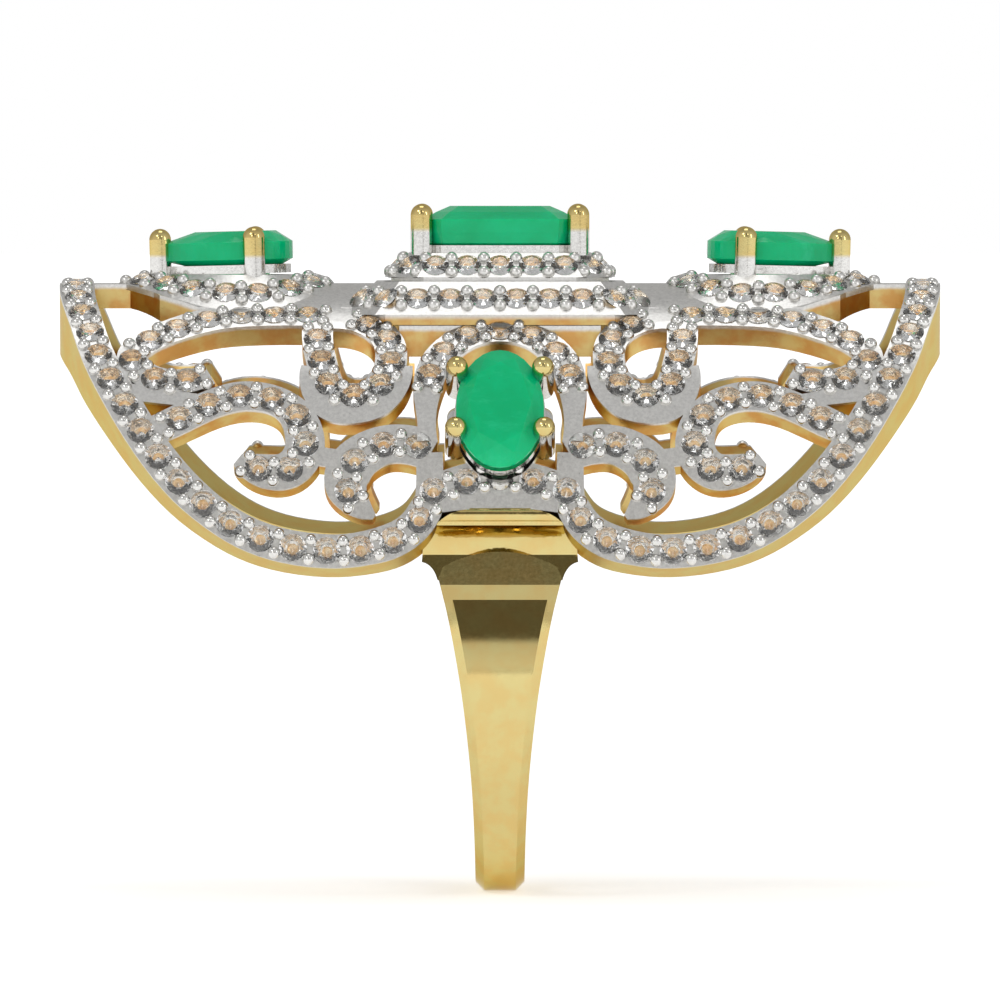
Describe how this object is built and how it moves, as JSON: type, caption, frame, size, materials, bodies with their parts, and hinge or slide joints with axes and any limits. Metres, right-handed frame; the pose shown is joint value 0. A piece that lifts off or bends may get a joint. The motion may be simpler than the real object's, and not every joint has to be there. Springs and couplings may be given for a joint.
{
  "type": "cocktail ring",
  "caption": "Long cocktail ring: open scrollwork head set with emeralds and small clear stones on a plain waisted gold band.",
  "frame": {"origin": "lowest point of the band, under the middle of the head", "axes": "+Z from the band's foot towards the centre stone, X along the finger and the head's length, -Y towards the front side of the ring"},
  "size_m": [0.0406, 0.0224, 0.0316],
  "materials": {
    "gold_plate": "polished yellow gold plate",
    "two_tone_plate": "bright rhodium plate on the faces, yellow gold plate on the side walls",
    "emerald": "polished, clouded green",
    "small_stones": "clear, faceted"
  },
  "bodies": {
    "root": {"centre_basket": "two_tone_plate", "centre_emerald": "emerald", "crown_spine": "two_tone_plate", "lower_tier": "two_tone_plate", "melee_lower_tier": "small_stones", "melee_oval_apron_front": "small_stones", "melee_oval_apron_rear": "small_stones", "melee_oval_halo_front": "small_stones", "melee_oval_halo_rear": "small_stones", "melee_pear_halo_left": "small_stones", "melee_pear_halo_right": "small_stones", "melee_rim_left": "small_stones", "melee_rim_right": "small_stones", "melee_scroll_front_left": "small_stones", "melee_scroll_front_right": "small_stones", "melee_scroll_rear_left": "small_stones", "melee_scroll_rear_right": "small_stones", "melee_upper_tier": "small_stones", "oval_apron_front": "two_tone_plate", "oval_apron_rear": "two_tone_plate", "oval_basket_front": "two_tone_plate", "oval_basket_rear": "two_tone_plate", "oval_emerald_front": "emerald", "oval_emerald_rear": "emerald", "oval_halo_front": "two_tone_plate", "oval_halo_rear": "two_tone_plate", "pear_basket_left": "two_tone_plate", "pear_basket_right": "two_tone_plate", "pear_emerald_left": "emerald", "pear_emerald_right": "emerald", "pear_halo_left": "two_tone_plate", "pear_halo_right": "two_tone_plate", "rim_left": "two_tone_plate", "rim_right": "two_tone_plate", "scroll_panel_front_left": "two_tone_plate", "scroll_panel_front_right": "two_tone_plate", "scroll_panel_rear_left": "two_tone_plate", "scroll_panel_rear_right": "two_tone_plate", "shank": "gold_plate", "upper_tier": "two_tone_plate"}
  },
  "joints": []
}
